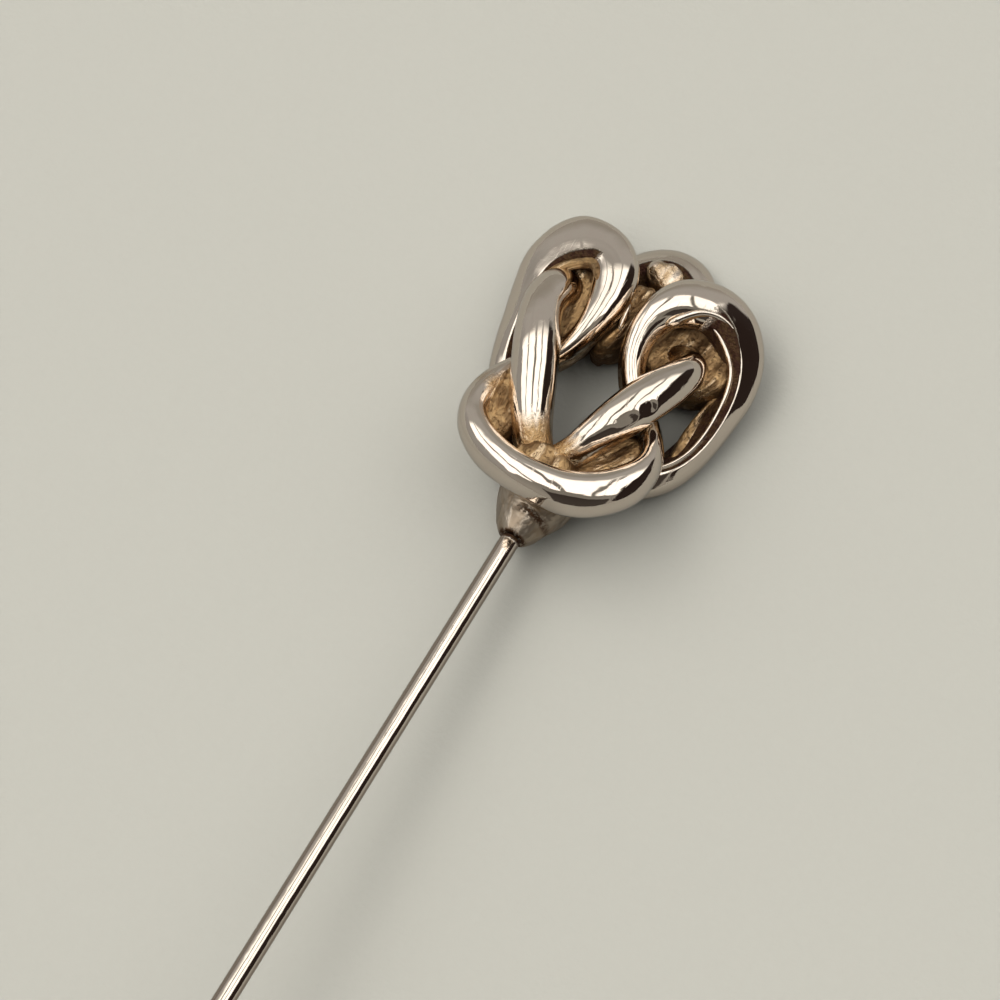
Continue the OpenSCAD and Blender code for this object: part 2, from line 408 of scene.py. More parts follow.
# Uneven patterns in the finishes: how fine each is, its layers of detail, how
# strong the finer layers are and, for some, how much it is twisted.
DRAWN_MARKS = (7.0, 3.0, 0.6)
DRAWN_LINES = (2.2, 1.0, 0.5)
SCRATCHES = (1.0, 2.0, 0.6)
SWELLS = (1.1, 1.0, 0.4)
PORES = (6.0, 3.0, 0.7)
COVER = (2.4, 4.0, 0.65)
CAST_CLOUDS = (0.9, 3.0, 0.6, 0.5)
CAST_GRIT = (7.0, 4.0, 0.7)
CAST_STREAKS = (2.2, 3.0, 0.55, 0.3)
FILED_STREAKS = (1.6, 3.0, 0.6, 0.8)
FILED_CLOUDS = (0.9, 2.0, 0.5, 0.5)
FILED_GRIT = (5.0, 4.0, 0.65)
PAPER_FIBRE = (3.0, 4.0, 0.6)
# How a pattern is squeezed each way before it is laid on the metal.
DRAWN_LONG = (1, 1, 0.05)
CAST_LONG = (1, 1, 0.22)
FILED_LONG = (1.2, 1.2, 0.6)
LONG_SCRATCH = (9, 0.6, 3)
CROSS_SCRATCH = (0.7, 8, 3)


def worn_gold(name, grain):
    """Polished gold with lengthwise marks and small scratches, brown in its
    corners, with painted shade in its recesses and on the stem's flanks, and
    rough and painted dark as in shade where the polishing wheel did not reach."""
    finish = Finish(bpy.data.materials.new(name))
    spot = finish.place()
    drawn = finish.stretch(finish.marked("lay", "Vector"), DRAWN_LONG)
    marks = finish.noise(drawn, *DRAWN_MARKS)
    lines = finish.noise(drawn, *DRAWN_LINES)
    long_scratches = finish.noise(finish.stretch(spot, LONG_SCRATCH), *SCRATCHES).step(0.62, 0.70)
    cross_scratches = finish.noise(finish.stretch(spot, CROSS_SCRATCH), *SCRATCHES).step(0.63, 0.72)
    swells = finish.noise(spot, *SWELLS)
    pores = finish.noise(spot, *PORES)
    cover = finish.noise(spot, *COVER)
    opened = finish.marked("openness")
    # Painted shade: darker where a point sees little of the room, in recesses and between strands,
    # with some dirt.
    shade_and_grime = 1 - (opened + (cover - 0.5) * 0.35).step(0.08, 0.36)
    unpolished_and_shaded = (finish.marked("unpolished_and_shaded") + (pores - 0.5) * 0.5).step(0.25, 0.65)
    colour = finish.blend(cover.step(0.35, 0.75) * 0.6, GOLD, GOLD_ROSY)
    amber = 1 - (opened + (lines - 0.5) * 0.5).step(0.22, 0.50)
    colour = finish.blend(amber * 0.8, colour, AMBER)
    colour = finish.blend(lines.step(0.50, 0.68) * 0.3, colour, SOLDERED_DARK)
    # Painted shade on the stem's left and right flanks.
    colour = finish.blend(finish.marked("flank_shade") * 0.85, colour, TAUPE)
    brown = (finish.marked("stained") + (lines - 0.5) * 0.9).step(0.25, 0.75)
    stain = finish.blend(cover.step(0.3, 0.5), CAST_RUBBED_AND_SHEEN, CAST_WARM)
    colour = finish.blend(brown, colour, stain)
    colour = finish.blend(shade_and_grime * (0.35 + pores * 0.7), colour, GRIME_AND_SHADE)
    # Painted shade on the strands' inner sides and at the stem's end in the socket, on unpolished
    # metal.
    shaded_skin = finish.blend(cover.step(0.4, 0.6), UNPOLISHED_SHADE, GOLD_OLIVE)
    colour = finish.blend(unpolished_and_shaded, colour, shaded_skin)
    rough = 0.015 + marks * 0.06 + long_scratches * 0.05 + cross_scratches * 0.04
    rough = rough + shade_and_grime * (0.18 + pores * 0.3) + unpolished_and_shaded * 0.3 + brown * (0.10 + pores * 0.2)
    height = swells * 0.4 + lines * 0.4 * grain + marks * 0.06 * grain
    height = height - long_scratches * 0.015 - cross_scratches * 0.012
    relief = finish.bump(height, 0.05)
    relief = finish.bump((shade_and_grime + unpolished_and_shaded * 2.0 + brown) * pores, 0.10, relief)
    return surfaced(name, colour, rough, relief)


def rough_gold(name):
    """Gold left brown and grainy from casting, with painted highlights along
    streaks where it was rubbed, dirt in its pits and painted shade in its recesses."""
    finish = Finish(bpy.data.materials.new(name))
    spot = finish.place()
    clouds = finish.noise(spot, *CAST_CLOUDS)
    grit = finish.noise(spot, *CAST_GRIT)
    drawn = finish.stretch(finish.marked("lay", "Vector"), CAST_LONG)
    streaks = finish.noise(drawn, *CAST_STREAKS)
    opened = finish.marked("openness")
    pits = 1 - grit.step(0.30, 0.44)
    # Painted shade: darker where a point sees little of the room, in the recesses, with dirt in the
    # pits.
    shade_and_grime = (1 - (opened + (clouds - 0.5) * 0.5).step(0.0, 0.36)) * 0.85 + pits * 0.4
    shade_and_grime = shade_and_grime.sum("MINIMUM", 1.0)
    colour = finish.blend(clouds.step(0.40, 0.60), CAST_WARM, CAST_DULL)
    # Painted highlights along the rubbed streaks.
    colour = finish.blend(streaks.step(0.56, 0.68) * 0.7, colour, CAST_RUBBED_AND_SHEEN)
    colour = finish.blend(shade_and_grime, colour, GRIME_AND_SHADE)
    rough = 0.34 + grit * 0.2 + shade_and_grime * 0.2 - streaks.step(0.5, 0.7) * 0.22
    relief = finish.bump(clouds * 0.6 + streaks * 1.3 + grit * 0.35 - pits * 0.2, 0.13)
    return surfaced(name, colour, rough, relief)


def stained_gold(name):
    """Filed gold by the solder: half dull, with brown stains, a worn mark and painted shade at the
    lip.
    """
    finish = Finish(bpy.data.materials.new(name))
    spot = finish.place()
    lay = finish.marked("lay", "Vector")
    streaks = finish.noise(finish.stretch(lay, FILED_LONG), *FILED_STREAKS)
    clouds = finish.noise(spot, *FILED_CLOUDS)
    grit = finish.noise(spot, *FILED_GRIT)
    opened = finish.marked("openness")
    stain = streaks.step(0.42, 0.62) * 0.55 + (1 - opened.step(0.1, 0.5)) * 0.6
    # A worn mark, and painted shade at the lip where the stem enters.
    scuff_and_lip_shade = finish.marked("scuff_and_lip_shade") * grit.step(0.40, 0.52)
    colour = finish.blend(clouds.step(0.35, 0.65), SOLDERED, SOLDERED_DARK)
    colour = finish.blend((stain * 0.7).sum("MINIMUM", 0.8), colour, TARNISH)
    colour = finish.blend(scuff_and_lip_shade.sum("MINIMUM", 1.0), colour, GRIME_AND_SHADE)
    rough = 0.24 + grit * 0.10 + stain * 0.12 + scuff_and_lip_shade * 0.2
    relief = finish.bump(clouds * 2.5 + streaks * 0.5 + grit * 0.12, 0.09)
    relief = finish.bump(scuff_and_lip_shade * -1.0, 0.06, relief)
    return surfaced(name, colour, rough, relief)


# Shapes.
def unit(v):
    return v / np.linalg.norm(v, axis=-1, keepdims=True)


# How much closer the points of a section are at its top, how much flatter a
# thinned section is outside, and the half width and foot of its ridge, as angles.
CLOSER_AT_TOP = 0.35
FLATTER = 0.6
RIDGE_EDGE = 0.05
RIDGE_FOOT = 0.2
# The inner side of a section is left unpolished and painted dark as in shade,
# further up where no ridge stands: the ridge's least height, where the rough
# part starts off the middle, how far it moves up without a ridge, how quickly
# it sets in, and how thin the inner half has to be.
LEAST_RIDGE = 0.02
ROUGH_START = 0.15
ROUGH_RISE = 0.25
ROUGH_SLOPE = 5
ROUGH_THIN = 0.55
# How far along a strand its direction is measured, in rows.
NEARBY = 0.01


def along(table, k):
    """All columns of the closed smooth curve at row numbers k."""
    i = np.floor(k).astype(int)
    t = (k - i)[:, None]
    before, here, after, beyond = (table[(i + n) % len(table)] for n in (-1, 0, 1, 2))
    return ((1 - t) ** 3 * before + (3 * t ** 3 - 6 * t ** 2 + 4) * here
            + (-3 * t ** 3 + 3 * t ** 2 + 3 * t + 1) * after + t ** 3 * beyond) / 6


def ways_along(table, k):
    """The ways to the strand's side, level, and to its top, at row numbers k."""
    ahead = unit(along(table, k + NEARBY)[:, :3] - along(table, k - NEARBY)[:, :3])
    side = unit(np.cross([0, 0, 1.0], ahead))
    return side, np.cross(ahead, side)


def rings_along(table, k, sides):
    """Rings of points round a strand's middle line, the lay of each point, and
    how far it is from polished, which also paints it dark as in shade, from 0 to 1."""
    s = along(table, k)
    middle = s[:, :3]
    side, rise = ways_along(table, k)
    lean = np.radians(s[:, LEAN])[:, None]
    wide = side * np.cos(lean) - rise * np.sin(lean)
    deep = rise * np.cos(lean) + side * np.sin(lean)
    a = 2 * np.pi * np.arange(sides) / sides
    a = (a + CLOSER_AT_TOP * np.sin(2 * a))[None]
    off_top = np.abs((a - np.pi / 2 + np.pi) % (2 * np.pi) - np.pi)
    crest = np.exp(-(np.hypot(off_top, RIDGE_EDGE) - RIDGE_EDGE) / RIDGE_FOOT)
    swell = 1 + s[:, RIDGE, None] * crest
    squareness = 2 + FLATTER * (1 - s[:, THIN, None])
    flatter = np.abs(np.cos(a)) ** squareness + np.abs(np.sin(a)) ** squareness
    flatter = flatter ** (-1 / squareness)
    swell = swell * np.where((np.cos(a) > 0) & (np.sin(a) > 0), flatter, 1)
    thin = np.where(np.cos(a) < 0, s[:, THIN, None], 1)
    over = s[:, WIDE, None] / 2 * thin * swell * np.cos(a)
    up = s[:, DEEP, None] / 2 * swell * np.sin(a)
    points = middle[:, None] + over[..., None] * wide[:, None] + up[..., None] * deep[:, None]
    gone = np.append(0, np.cumsum(np.linalg.norm(np.diff(middle, axis=0), axis=1)))
    lay = np.stack(np.broadcast_arrays(np.cos(a), np.sin(a), gone[:, None]), -1)
    # The unpolished inner side is also painted dark as in shade.
    no_ridge = np.clip(1 - s[:, RIDGE, None] / LEAST_RIDGE, 0, 1)
    inward = ROUGH_RISE * no_ridge - ROUGH_START - np.cos(a)
    rough = np.clip(inward, 0, 1 / ROUGH_SLOPE) * ROUGH_SLOPE
    rough = rough * np.clip((ROUGH_THIN - s[:, THIN, None]) * ROUGH_SLOPE, 0, 1)
    return points, lay, rough


# How far into its taper a rim ends.
LEAST_TAPER = 0.01


def strand_rings(rows, first, per_row, sides):
    """Rings along a whole closed strand, starting from row number first."""
    table = np.array(rows, float)
    return rings_along(table, first + np.arange(len(table) * per_row) / per_row, sides)


def rim_rings(rows, per_row, sides, taper):
    """A short strand that thins out over the taper's length to two round ends."""
    rows = np.array([row + [0, 1, 0] for row in rows], float)
    table = np.concatenate([[2 * rows[0] - rows[1]], rows, [2 * rows[-1] - rows[-2]]])
    k = np.linspace(1, len(rows), (len(rows) - 1) * per_row + 1)
    points, lay, rough = rings_along(table, k, sides)
    gone = lay[:, 0, 2]
    from_end = np.minimum(gone, gone[-1] - gone) / taper
    size = np.sqrt(1 - (1 - np.clip(from_end, LEAST_TAPER, 1)) ** 2)
    middle = points.mean(axis=1, keepdims=True)
    return middle + (points - middle) * size[:, None, None], lay, rough


def ledge_rows(rows, ledge):
    """Rows of a rim that lies along the inner wall of a strand."""
    table = np.array(rows, float)
    t = np.linspace(0, 1, LEDGE_STEPS)
    k = ledge[FIRST] + t * (ledge[LAST] - ledge[FIRST])
    a = np.radians(np.interp(t, [0, 0.5, 1], ledge[START_ANGLE:END_ANGLE + 1]))
    s = along(table, k)
    side, rise = ways_along(table, k)
    lean = np.radians(s[:, LEAN])[:, None]
    over = s[:, WIDE, None] / 2 * s[:, THIN, None] * np.cos(a)[:, None]
    up = s[:, DEEP, None] / 2 * np.sin(a)[:, None]
    place = s[:, :3] + over * (side * np.cos(lean) - rise * np.sin(lean))
    place = place + up * (rise * np.cos(lean) + side * np.sin(lean))
    return [spot.tolist() + [ledge[LEDGE_WIDE], ledge[LEDGE_DEEP]] for spot in place]


def ring_faces(rings, sides, closed):
    """Quads between rings of points, joined round."""
    grid = np.arange(rings * sides).reshape(rings, sides)
    last = grid if closed else grid[:-1]
    after = np.roll(grid, -1, 0) if closed else grid[1:]
    quads = np.stack([last, np.roll(last, -1, 1), np.roll(after, -1, 1), after], -1)
    return [tuple(q) for q in quads.reshape(-1, 4).tolist()]


def end_faces(rings, sides):
    """The two faces that close the first and the last of some rings."""
    first = tuple(range(sides - 1, -1, -1))
    return [first, tuple(range((rings - 1) * sides, rings * sides))]


# How many waves make a surface uneven, and the lengths they vary between.
WAVES = 14
SHORT_WAVE, LONG_WAVE = 0.6, 1.6


def ripple(points, seed, wave, height):
    """Smooth unevenness of a hand finished surface, as a height per point."""
    dice = np.random.default_rng(seed)
    total = np.zeros(len(points))
    for _ in range(WAVES):
        heading = unit(dice.normal(size=3))
        length = wave * dice.uniform(SHORT_WAVE, LONG_WAVE)
        total += np.sin(points @ heading * 2 * np.pi / length + dice.uniform(0, 2 * np.pi))
    return total * height / math.sqrt(WAVES / 2)


def uneven(points, seeds, layers):
    """Unevenness in layers, whose columns are wave length and height."""
    return sum(ripple(points, seed, *layer) for seed, layer in zip(seeds, layers))


def point_normals(points, faces):
    """The way straight out of the surface at each point."""
    quads = np.array([f if len(f) == 4 else (f[0], f[1], f[2], f[2]) for f in faces])
    across = points[quads[:, 2]] - points[quads[:, 0]]
    over = points[quads[:, 3]] - points[quads[:, 1]]
    face_normals = np.cross(across, over)
    total = np.zeros_like(points)
    for corner in range(4):
        np.add.at(total, quads[:, corner], face_normals)
    return unit(total + 1e-12)


class Piece:
    """One made piece: its points in millimetres and its faces, and values
    marked on its points for the finish to use."""

    def __init__(self, name, points, faces, finish, slot, node, **marks):
        self.name, self.points, self.faces = name, np.array(points), faces
        self.finish, self.slot, self.node, self.marks = finish, slot, node, marks


# The rays that measure openness: how far off the surface they start, how far
# they reach, and the half sizes of the table that they meet.
RAY_START = 0.02
RAY_REACH = 6.0
FLOOR_HALF = (40, 60)
# Some direction that lies along no surface of the pin.
ODD_WAY = (0.3, 0.5, 0.81)


def tree_of(pieces):
    """All pieces and the table under them, for rays to meet."""
    points, faces, start = [], [], 0
    for piece in pieces:
        points += piece.points.tolist()
        faces += [tuple(i + start for i in f) for f in piece.faces]
        start = len(points)
    x, y = FLOOR_HALF
    floor = [(-x, -y, 0), (x, -y, 0), (x, y, 0), (-x, y, 0)]
    faces.append(tuple(range(start, start + 4)))
    return BVHTree.FromPolygons(points + floor, faces)


def openness(piece, tree, rays):
    """How much of the room each point sees, from 0 in a recess to 1."""
    normals = point_normals(piece.points, piece.faces)
    n = np.arange(rays) + 0.5
    lift = np.sqrt(1 - n / rays)
    swing = n * math.pi * (3 - math.sqrt(5))
    flat = np.sqrt(n / rays)
    local = np.stack([flat * np.cos(swing), flat * np.sin(swing), lift], -1)
    result = np.zeros(len(piece.points))
    for i, (p, up) in enumerate(zip(piece.points, normals)):
        side = unit(np.cross(up, ODD_WAY))
        dirs = local @ np.array([side, np.cross(up, side), up])
        start = Vector(p + up * RAY_START)
        free = 0
        for d in dirs.tolist():
            if tree.ray_cast(start, d, RAY_REACH)[0] is None:
                free += 1
        result[i] = free / rays
    return result


def show(piece, opened):
    """Puts a piece into the scene, on the pin's one body."""
    mesh = bpy.data.meshes.new(piece.name)
    mesh.from_pydata((piece.points * MM).tolist(), [], piece.faces)
    mesh.polygons.foreach_set("use_smooth", [True] * len(mesh.polygons))
    mesh.attributes.new("openness", "FLOAT", "POINT").data.foreach_set(
        "value", opened.astype(np.float32))
    for mark, values in piece.marks.items():
        kind, field = ("FLOAT_VECTOR", "vector") if mark == "lay" else ("FLOAT", "value")
        mesh.attributes.new(mark, kind, "POINT").data.foreach_set(
            field, values.reshape(-1).astype(np.float32))
    mesh.materials.append(piece.finish)
    made = bpy.data.objects.new(piece.name, mesh)
    bpy.context.scene.collection.objects.link(made)
    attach(made, "root")
    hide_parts(piece.node)
    return made


# The two strands.
ROW_STEPS = 12
SIDES = 80
RIM_STEPS = 10
RIM_SIDES = 24
# The rows where the lengthwise patterns start, hidden under other strands.
OUTER_START = 25
INNER_START = 9
# Unevenness of the strands, in layers of wave length and height.
STRAND_LAYERS = [[2.4, 0.007], [0.9, 0.0016]]
LAYER_SEEDS = 30
worn = worn_gold("worn_gold", 1.0)
cast = rough_gold("cast_recess_gold")


def strand_piece(name, swept, seed, closed=True, finish=worn):
    """A swept piece with its slight unevenness and its marks."""
    rings, lay, rough = swept
    sides = rings.shape[1]
    points = rings.reshape(-1, 3) * WIDEN + UNDER_LIP
    faces = ring_faces(len(rings), sides, closed)
    if not closed:
        faces += end_faces(len(rings), sides)
    normals = point_normals(points, ring_faces(len(rings), sides, closed))
    waves = uneven(points, (seed, seed + LAYER_SEEDS), STRAND_LAYERS)
    points = points + normals * waves[:, None]
    return Piece(name, points, faces, finish, "knot_gold", "knot_head",
                 lay=lay.reshape(-1, 3), unpolished_and_shaded=rough.reshape(-1), stained=stained(points))


def stained(points):
    """How brown each point is where cast metal runs up the strands, from 0 to 1."""
    share = np.zeros(len(points))
    for *place, reach in STAINS:
        off = points - np.array(place) * WIDEN - UNDER_LIP
        share = np.maximum(share, np.exp(-(off ** 2).sum(axis=1) / reach ** 2))
    return share


def dent(leg):
    """Presses the dents into the right leg."""
    for *place, reach, broad, depth in LEG_DENTS:
        off = leg.points - (np.array(place) * WIDEN + UNDER_LIP)
        far = off @ LEG_WAY
        wide_off = np.linalg.norm(off - far[:, None] * LEG_WAY, axis=1)
        hollow = np.exp(-(far / reach) ** 4 - (wide_off / broad) ** 2)
        leg.points = leg.points - straight_up * (depth * hollow)[:, None]


outer_strand = strand_piece(
    "outer_strand", strand_rings(OUTER_STRAND, OUTER_START, ROW_STEPS, SIDES), 11)
inner_strand = strand_piece(
    "inner_strand", strand_rings(INNER_STRAND, INNER_START, ROW_STEPS, SIDES), 12)
dent(inner_strand)
strand_pieces = [outer_strand, inner_strand]
# The trim: name, rows, finish, the length of its tapers, and seed.
TRIM = [
    ("right_rim", RIGHT_RIM, worn, 0.6, 13),
    ("right_ledge", ledge_rows(OUTER_STRAND, RIGHT_LEDGE), worn, 1.5, 14),
    ("left_ledge", ledge_rows(OUTER_STRAND, LEFT_LEDGE), cast, 1.5, 15),
    ("web_ridge", WEB_RIDGE, worn, 0.8, 16),
]
for name, rows, finish, taper, seed in TRIM:
    swept = rim_rings(rows, RIM_STEPS, RIM_SIDES, taper)
    strand_pieces.append(strand_piece(name, swept, seed, False, finish))


# Cast metal in the recesses.
PAD_RINGS = 44
PAD_SIDES = 110
# The share of a pad's size where its rings start, how sharply its edge is
# rounded, and how far it stays off the table, before its streaks and with them.
PAD_MIDDLE = 0.004
PAD_EDGE = 5
PAD_FOOT = 0.1
PAD_LEAST_Z = 0.06
# How much the streaks are drawn out, the length of their waves, and first seed.
DRAWN_OUT = 0.75
POURED_WAVE = 0.7
BEAD_WAVE = 0.8
PAD_SEED = 40


def pad_shape(row, seed, wave):
    """Points, faces and lay of one pad of poured metal, with a dished, streaky top."""
    sides = PAD_SIDES
    out = 1 - (1 - np.linspace(0, 1, PAD_RINGS)) ** 2
    out[0] = PAD_MIDDLE
    round_edge = np.sqrt(1 - out ** PAD_EDGE)
    a = 2 * np.pi * np.arange(sides) / sides
    turn = math.radians(row[TURN])
    over, up = np.cos(a) * row[SPAN], np.sin(a) * row[RUN]
    flat = np.stack([over * math.cos(turn) + up * math.sin(turn),
                     up * math.cos(turn) - over * math.sin(turn)], -1)
    half = min(PAD_THICK, row[TOP] - PAD_FOOT) / 2
    top = row[TOP] - half + (half + row[DISH] * out ** 2) * round_edge
    low = row[TOP] - half - half * round_edge
    layers = list(zip(out, top)) + list(zip(out[-2::-1], low[-2::-1]))
    points = np.concatenate([np.column_stack([row[:2] + r * flat, np.full(sides, z)])
                             for r, z in layers])
    faces = ring_faces(len(layers), sides, False) + end_faces(len(layers), sides)
    faces = [f[::-1] for f in faces]
    run = np.array([math.sin(turn), math.cos(turn), 0])
    squeezed = points - DRAWN_OUT * (points @ run)[:, None] * run
    points = points + straight_up * ripple(squeezed, seed, wave, row[STREAK])[:, None]
    lay = np.stack([points @ np.array([run[1], -run[0], 0]), points[:, 2], points @ run], -1)
    return points, faces, lay


def pads_piece(name, rows, finish, wave, brown=0.0):
    """Several pads as one piece, on the knot's place."""
    points, faces, lay = [], [], []
    for seed, row in enumerate(rows):
        more, more_faces, more_lay = pad_shape(np.array(row, float), PAD_SEED + seed, wave)
        start = sum(len(p) for p in points)
        faces += [tuple(i + start for i in f) for f in more_faces]
        points.append(more)
        lay.append(more_lay)
    points = np.concatenate(points) * WIDEN + UNDER_LIP
    points[:, 2] = np.maximum(points[:, 2], PAD_LEAST_Z)
    return Piece(name, points, faces, finish, "knot_gold", "knot_head",
                 lay=np.concatenate(lay), stained=np.full(len(points), brown))


recess_pieces = [
    pads_piece("recess_metal", RECESS_PADS, cast, POURED_WAVE),
    pads_piece("hump_bead", [HUMP_BEAD], worn, BEAD_WAVE, BEAD_BROWN),
]


# The socket and the stem.
SOCKET_SIDES = 120
SOCKET_STEPS = 70
STEM_SIDES = 64
STEM_STEPS = 120
POINT_STEPS = 30
# The point is a little rounder than a cone.
POINT_CURVE = 1.15
# A radius that closes an end, and the bevel of small edges.
CLOSED_R = 0.02
EDGE = 0.02
LIP_EDGE = 0.012
# The last step of the socket's wall inside the knot, and its radius there.
LAST_STEP, LAST_R = 0.05, 0.5
BORE_MIDDLE = 1.0
# The shoulder where the stem gets thinner inside the socket, the first ring
# after it, and the radius at the very end of the point.
SHOULDER, SHOULDER_EDGE = 0.03, 0.01
FIRST_RING = 0.4
TIP_END_R = 0.01
SOCKET_LEAST_Z = 0.02
# Unevenness of the socket, and how far from the lip it is at its full height.
SOCKET_SEEDS = (21, 22)
SOCKET_LAYERS = [[2.2, 0.03], [0.7, 0.008]]
UNEVEN_FROM = 0.6
# The worn mark on the socket: its middle and half width across the stem, and
# its middle and half length back from the lip.
MARK_ACROSS, MARK_HALF_WIDE, MARK_BACK, MARK_HALF_LONG = 0.55, 0.8, 0.95, 0.16
# How wide the painted shade at the lip is, a dark ring where the stem enters.
LIP_SHADE_WIDE = 0.05
# Where the stem is painted in shade at the socket, and where its left and right
# flanks are painted in shade: where it starts, and over how far it sets in.
SOCKET_SHADE_TO, SOCKET_SHADE_SOFT = 0.30, 0.15
LEFT_FLANK, LEFT_SOFT = 0.38, 0.14
RIGHT_FLANK, RIGHT_SOFT = 0.84, 0.1


def turned(outline, sides):
    """Points, faces, end faces and lay of a shape turned about the stem's line.
    The outline's rows are the distance down the stem and the radius."""
    a = 2 * np.pi * np.arange(sides) / sides
    rays = np.cos(a)[:, None] * ACROSS_STEM + np.sin(a)[:, None] * OFF_STEM
    points = [LIP + s * DOWN_STEM + r * rays for s, r in outline]
    lay = [np.stack([np.cos(a), np.sin(a), np.full(sides, s)], -1) for s, r in outline]
    faces = ring_faces(len(outline), sides, False)
    caps = end_faces(len(outline), sides)
    return np.concatenate(points), faces, caps, np.concatenate(lay)


def smooth_outline(rows, steps):
    """A finer run of points through the rows, rounded between them."""
    rows = np.array(rows, float)
    k = np.linspace(0, len(rows) - 1, steps)
    i = np.minimum(k.astype(int), len(rows) - 2)
    t = (k - i)[:, None]
    slope = np.gradient(rows, axis=0)
    here = (2 * t ** 3 - 3 * t ** 2 + 1) * rows[i] + (t ** 3 - 2 * t ** 2 + t) * slope[i]
    after = (-2 * t ** 3 + 3 * t ** 2) * rows[i + 1]
    return here + after + (t ** 3 - t ** 2) * slope[i + 1]


def socket_piece():
    """The cone shaped socket with its bore, its lip, its worn mark and painted shade at the lip."""
    wall = [[-back, LIP_R + swell * (SOCKET_R - LIP_R)] for back, swell in SOCKET_OUTLINE]
    wall = smooth_outline(wall, SOCKET_STEPS).tolist()
    wall += [[-SOCKET_END + LAST_STEP, LAST_R], [-SOCKET_END, CLOSED_R]]
    bore = [[-BORE_DEPTH, CLOSED_R], [-BORE_DEPTH, BORE_R], [-BORE_MIDDLE, BORE_R],
            [-EDGE, BORE_R], [0, BORE_R + EDGE], [0, LIP_R - EDGE]]
    outline = bore + [[-LIP_EDGE, LIP_R]] + wall[1:]
    points, faces, caps, lay = turned(outline, SOCKET_SIDES)
    normals = point_normals(points, faces)
    outside = np.repeat(np.arange(len(outline)) >= len(bore), SOCKET_SIDES)
    depth = (points - LIP) @ -DOWN_STEM
    fade = np.clip(depth / UNEVEN_FROM, 0, 1) * outside
    lumps = uneven(points, SOCKET_SEEDS, SOCKET_LAYERS)
    points = points + normals * (lumps * fade)[:, None]
    across = (points - LIP) @ ACROSS_STEM
    scuff_and_lip_shade = ((across - MARK_ACROSS) / MARK_HALF_WIDE) ** 4
    scuff_and_lip_shade = np.exp(-scuff_and_lip_shade - ((depth - MARK_BACK) / MARK_HALF_LONG) ** 4) * outside
    # Painted shade: a dark ring at the lip where the stem enters.
    scuff_and_lip_shade = np.maximum(scuff_and_lip_shade, np.exp(-(depth / LIP_SHADE_WIDE) ** 2))
    points[:, 2] = np.maximum(points[:, 2], SOCKET_LEAST_Z)
    return Piece("socket", points, faces + caps, stained_gold("socket_gold"), "knot_gold",
                 "knot_head", lay=lay, scuff_and_lip_shade=scuff_and_lip_shade)


def stem_piece():
    """The stem from its seated end to its point, with painted shade at the socket and on its
    flanks.
    """
    taper = [[STEM_FREE - POINT_LEN * (1 - t), STEM_D / 2 + (TIP_D - STEM_D) / 2 * t ** POINT_CURVE]
             for t in np.linspace(0, 1, POINT_STEPS)[1:]]
    seated = BORE_DEPTH - FIT_GAP
    outline = [[-seated, CLOSED_R], [-seated, TANG_D / 2], [NECK_LEN - SHOULDER, TANG_D / 2],
               [NECK_LEN, STEM_D / 2 - SHOULDER_EDGE], [NECK_LEN + SHOULDER, STEM_D / 2]]
    outline += [[s, STEM_D / 2] for s in np.linspace(FIRST_RING, STEM_FREE - POINT_LEN, STEM_STEPS)]
    outline += taper + [[STEM_FREE, TIP_END_R]]
    points, faces, caps, lay = turned(outline, STEM_SIDES)
    # Painted shade on the stem's end where it enters the socket.
    socket_shade = np.clip((SOCKET_SHADE_TO - lay[:, 2]) / SOCKET_SHADE_SOFT, 0, 1)
    # Painted shade on the stem's left and right flanks, set by which side faces the room.
    flank_shade_share = np.clip((-LEFT_FLANK - lay[:, 0]) / LEFT_SOFT, 0, 1)
    flank_shade_share = flank_shade_share + np.clip((lay[:, 0] - RIGHT_FLANK) / RIGHT_SOFT, 0, 1)
    finish = worn_gold("stem_drawn_gold", 0.5)
    return Piece("stem", points, faces + caps, finish, "stem_gold", "pin_stem",
                 lay=lay, unpolished_and_shaded=socket_shade, flank_shade=flank_shade_share)


pieces = strand_pieces + recess_pieces + [socket_piece(), stem_piece()]
tree = tree_of(pieces)
rays = 20
for piece in pieces:
    show(piece, openness(piece, tree, rays))


# Table and light.
# Half the width of the paper.
TABLE_HALF = 1500.0


def table_top():
    """A wide sheet of pale paper."""
    finish = Finish(bpy.data.materials.new("pale_paper"))
    spot = finish.place()
    fibre = finish.noise(spot, *PAPER_FIBRE)
    colour = finish.blend(fibre, PAPER, PAPER_LIGHT)
    relief = finish.bump(fibre, 0.02)
    paper = surfaced("pale_paper", colour, PAPER_ROUGH, relief, 0.0)
    mesh = bpy.data.meshes.new("table_top")
    half = TABLE_HALF * MM
    corners = [(-half, -half, 0), (half, -half, 0), (half, half, 0), (-half, half, 0)]
    mesh.from_pydata(corners, [], [(0, 1, 2, 3)])
    mesh.materials.append(paper)
    top = bpy.data.objects.new("table_top", mesh)
    bpy.context.scene.collection.objects.link(top)


table_top()

# The room round the pin. Columns, in degrees from straight overhead, seen
# from the camera's side: LEFT, RIGHT, NEAR, FAR, how softly its sides and its
# far end fade, and the light.
WINDOWS = [
    [-90, 90, 34, 68, 9, 9, 0.38],
    [-90, -55, -40, 60, 9, 9, 0.30],
    [-58, -35, -35, 42, 1.2, 6, 1.6],
    [-30, -3.5, -30, 42, 1.2, 6, 1.6],
    [4, 26.5, -30, 42, 1.2, 6, 1.6],
    [31, 52, -28, 42, 1.2, 6, 1.6],
]
DARKS = [
    [54.5, 97, -60, 50, 1.2, 3, 0.96],
    [-32, 48, -95, -46, 1.2, 1.2, 0.85],
]
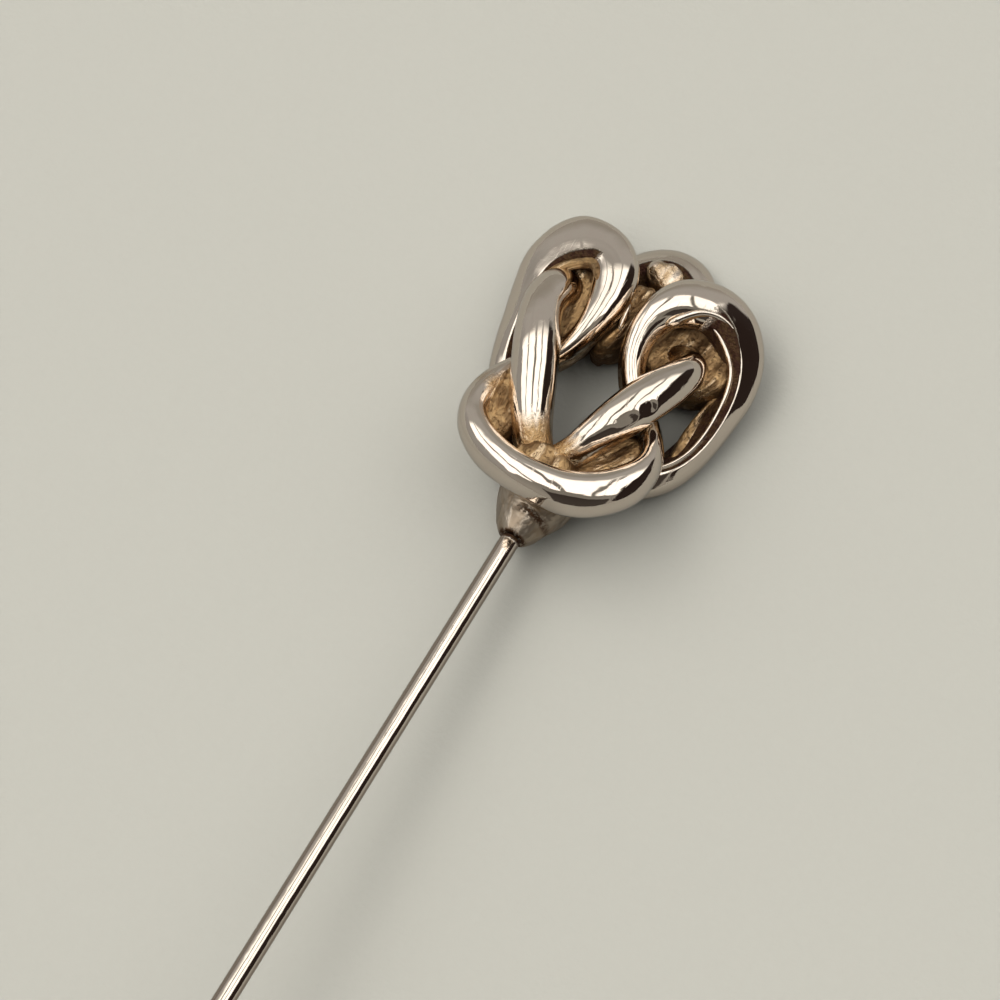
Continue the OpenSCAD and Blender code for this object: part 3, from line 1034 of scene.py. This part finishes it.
# The light that falls on the table, a little from the left: its edges as in the
# rows above, its colour, and the room's outside it, nearer and beyond, with the
# edges of the change between those two.
LAMP = (-40, -15, -30, 40, 10, 10)
LAMP_GLOW = (4.9, 4.78, 4.42, 1)
LAMP_DIM = (0.04, 0.04, 0.035, 1)
LAMP_LOW = (0.73, 0.71, 0.655, 1)
LAMP_CHANGE = (-50, 10)
# How much weaker that light is for rays that met polished metal before, and for
# those that come from it.
MET_METAL, FROM_METAL = 0.70, 0.28
# The room that the metal mirrors, high up and low down, with the edges of the
# change between them, and the plain backdrop that the camera sees.
ROOM_GREY = (0.200, 0.192, 0.170, 1)
ROOM_LOW = (0.30, 0.288, 0.255, 1)
ROOM_CHANGE = (40, 90)
BACKDROP = (0.60, 0.58, 0.52, 1)
UNLIT = (0, 0, 0, 1)
WINDOW_WHITE = (1.0, 0.985, 0.93, 1)
DARK_CLOTH = (0.012, 0.005, 0.004, 1)


def room():
    """The light on the table, what the metal mirrors, and the backdrop."""
    world = bpy.data.worlds.new("room")
    bpy.context.scene.world = world
    finish = Finish(world)
    facing = finish.node("ShaderNodeTexCoord", out="Generated")

    def part(way):
        inputs = {0: facing, 1: tuple(float(v) for v in way)}
        return finish.node("ShaderNodeVectorMath", {"operation": "DOT_PRODUCT"}, inputs, "Value")

    over, x, y = part(straight_up), part(right), part(away)
    from_top = over.sum("ARCCOSINE") * (180 / math.pi)
    flat = (x * x + y * y + 1e-6) ** 0.5
    u, v = from_top * x / flat, from_top * y / flat

    def patch(left, right_edge, near, far, soft, far_soft):
        inside = u.step(left - soft, left + soft)
        inside = inside * (1 - u.step(right_edge - soft, right_edge + soft))
        inside = inside * v.step(near - soft, near + soft)
        return inside * (1 - v.step(far - far_soft, far + far_soft))

    colour = finish.blend(from_top.step(*ROOM_CHANGE), ROOM_GREY, ROOM_LOW)
    for *edges, light in WINDOWS:
        glow = tuple(light * c for c in WINDOW_WHITE[:3]) + (1,)
        colour = finish.blend(patch(*edges), colour, glow)
    for *edges, cover in DARKS:
        colour = finish.blend(patch(*edges) * cover, colour, DARK_CLOTH)
    lamp = finish.blend(v.step(*LAMP_CHANGE), LAMP_DIM, LAMP_LOW)
    lamp = finish.blend(patch(*LAMP), lamp, LAMP_GLOW)
    mirrored = finish.node("ShaderNodeLightPath", out="Glossy Depth").step(0.0, 1.0)
    thrown = finish.node("ShaderNodeLightPath", out="Is Glossy Ray")
    lamp = finish.blend(mirrored * MET_METAL + thrown * FROM_METAL, lamp, UNLIT)
    rays = finish.node("ShaderNodeLightPath", out="Diffuse Depth")
    colour = finish.blend(rays.step(0.0, 1.0), colour, lamp)
    seen = finish.node("ShaderNodeLightPath", out="Is Camera Ray")
    colour = finish.blend(seen, colour, BACKDROP)
    light = finish.node("ShaderNodeBackground", None, {"Color": colour, "Strength": 1.0})
    finish.node("ShaderNodeOutputWorld", None, {"Surface": light})


room()
